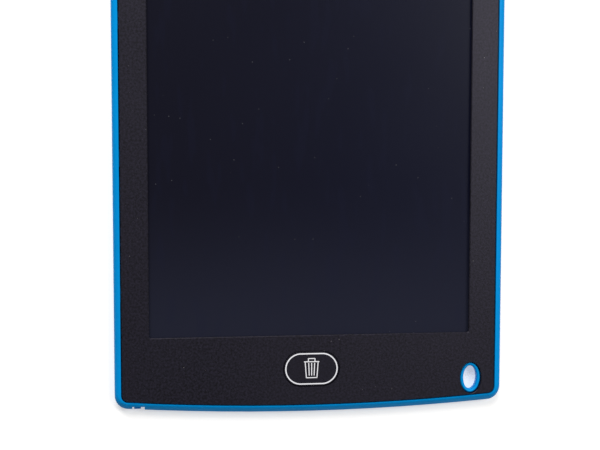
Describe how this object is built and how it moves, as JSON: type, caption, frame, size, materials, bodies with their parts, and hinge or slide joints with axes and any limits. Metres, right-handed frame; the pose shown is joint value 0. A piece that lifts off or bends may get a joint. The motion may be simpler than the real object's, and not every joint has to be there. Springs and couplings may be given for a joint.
{
  "type": "lcd writing tablet",
  "caption": "Thin flat writing tablet with a recessed dark screen, an erase key, a lock slider, a coin-cell door and a stylus stored in a channel along its back.",
  "frame": {"origin": "middle of the bounding box's bottom face, on the tablet's back", "axes": "+X to the right, +Y towards the top of the screen, +Z out of the screen"},
  "size_m": [0.1458, 0.226, 0.0058],
  "materials": {
    "shell_blue": "satin moulded ABS",
    "stylus_blue": "satin moulded ABS",
    "panel_black": "fine matt texture",
    "key_black": "smooth matt with printed white lines",
    "screen_dark": "glossy film",
    "tape_grey": "adhesive foam",
    "backing_grey": "plain sheet",
    "board_green": "solder mask",
    "chip_black": "moulded epoxy",
    "ferrite": "fired ferrite",
    "ceramic": "fired ceramic",
    "spring_steel": "stamped",
    "nickel": "nickel plated",
    "ribbon_amber": "polyimide film",
    "connector_cream": "moulded nylon",
    "gasket_grey": "moulded seal",
    "tip_black": "smooth acetal"
  },
  "bodies": {
    "tablet": {"back_shell": "shell_blue", "front_panel": "panel_black", "screen_tape": "tape_grey", "front_sheet": "screen_dark", "rear_sheet": "screen_dark", "backing_plate": "backing_grey", "tact_base": "chip_black", "tact_dome": "spring_steel", "circuit_board": "board_green", "board_screw_left": "nickel", "board_screw_right": "nickel", "controller_chip": "chip_black", "boost_inductor": "ferrite", "boost_diode": "chip_black", "capacitor_input": "ceramic", "capacitor_output": "ceramic", "capacitor_supply": "ceramic", "resistor_bias": "chip_black", "resistor_pull_up": "chip_black", "screen_ribbon": "ribbon_amber", "ribbon_connector": "connector_cream", "ribbon_latch": "chip_black", "lock_switch_body": "chip_black", "cell_can": "nickel", "cell_gasket": "gasket_grey", "cell_cap": "nickel", "contact_negative": "spring_steel", "contact_positive": "spring_steel"},
    "key": {"erase_key": "key_black", "tact_plunger": "connector_cream"},
    "slider": {"lock_slider": "panel_black", "lock_switch_lever": "connector_cream"},
    "door": {"battery_door": "shell_blue", "battery_door_screw": "nickel"},
    "stylus": {"stylus_barrel": "stylus_blue", "stylus_tip": "tip_black"}
  },
  "joints": [
    {"name": "key_press", "type": "slide", "parent": "tablet", "child": "key", "axis": [0, 0, -1], "range_m": [0, 0.0003], "stiffness_N_per_m": 2000},
    {"name": "lock_slide", "type": "slide", "parent": "tablet", "child": "slider", "axis": [1, 0, 0], "range_m": [0, 0.002]},
    {"name": "door_hinge", "type": "hinge", "parent": "tablet", "child": "door", "pos_m": [0.01987, -0.0967, 0.00015], "axis": [0, 1, 0], "range_deg": [0, 75]},
    {"name": "stylus_slide", "type": "slide", "parent": "tablet", "child": "stylus", "axis": [0, -1, 0], "range_m": [0, 0.132]}
  ]
}
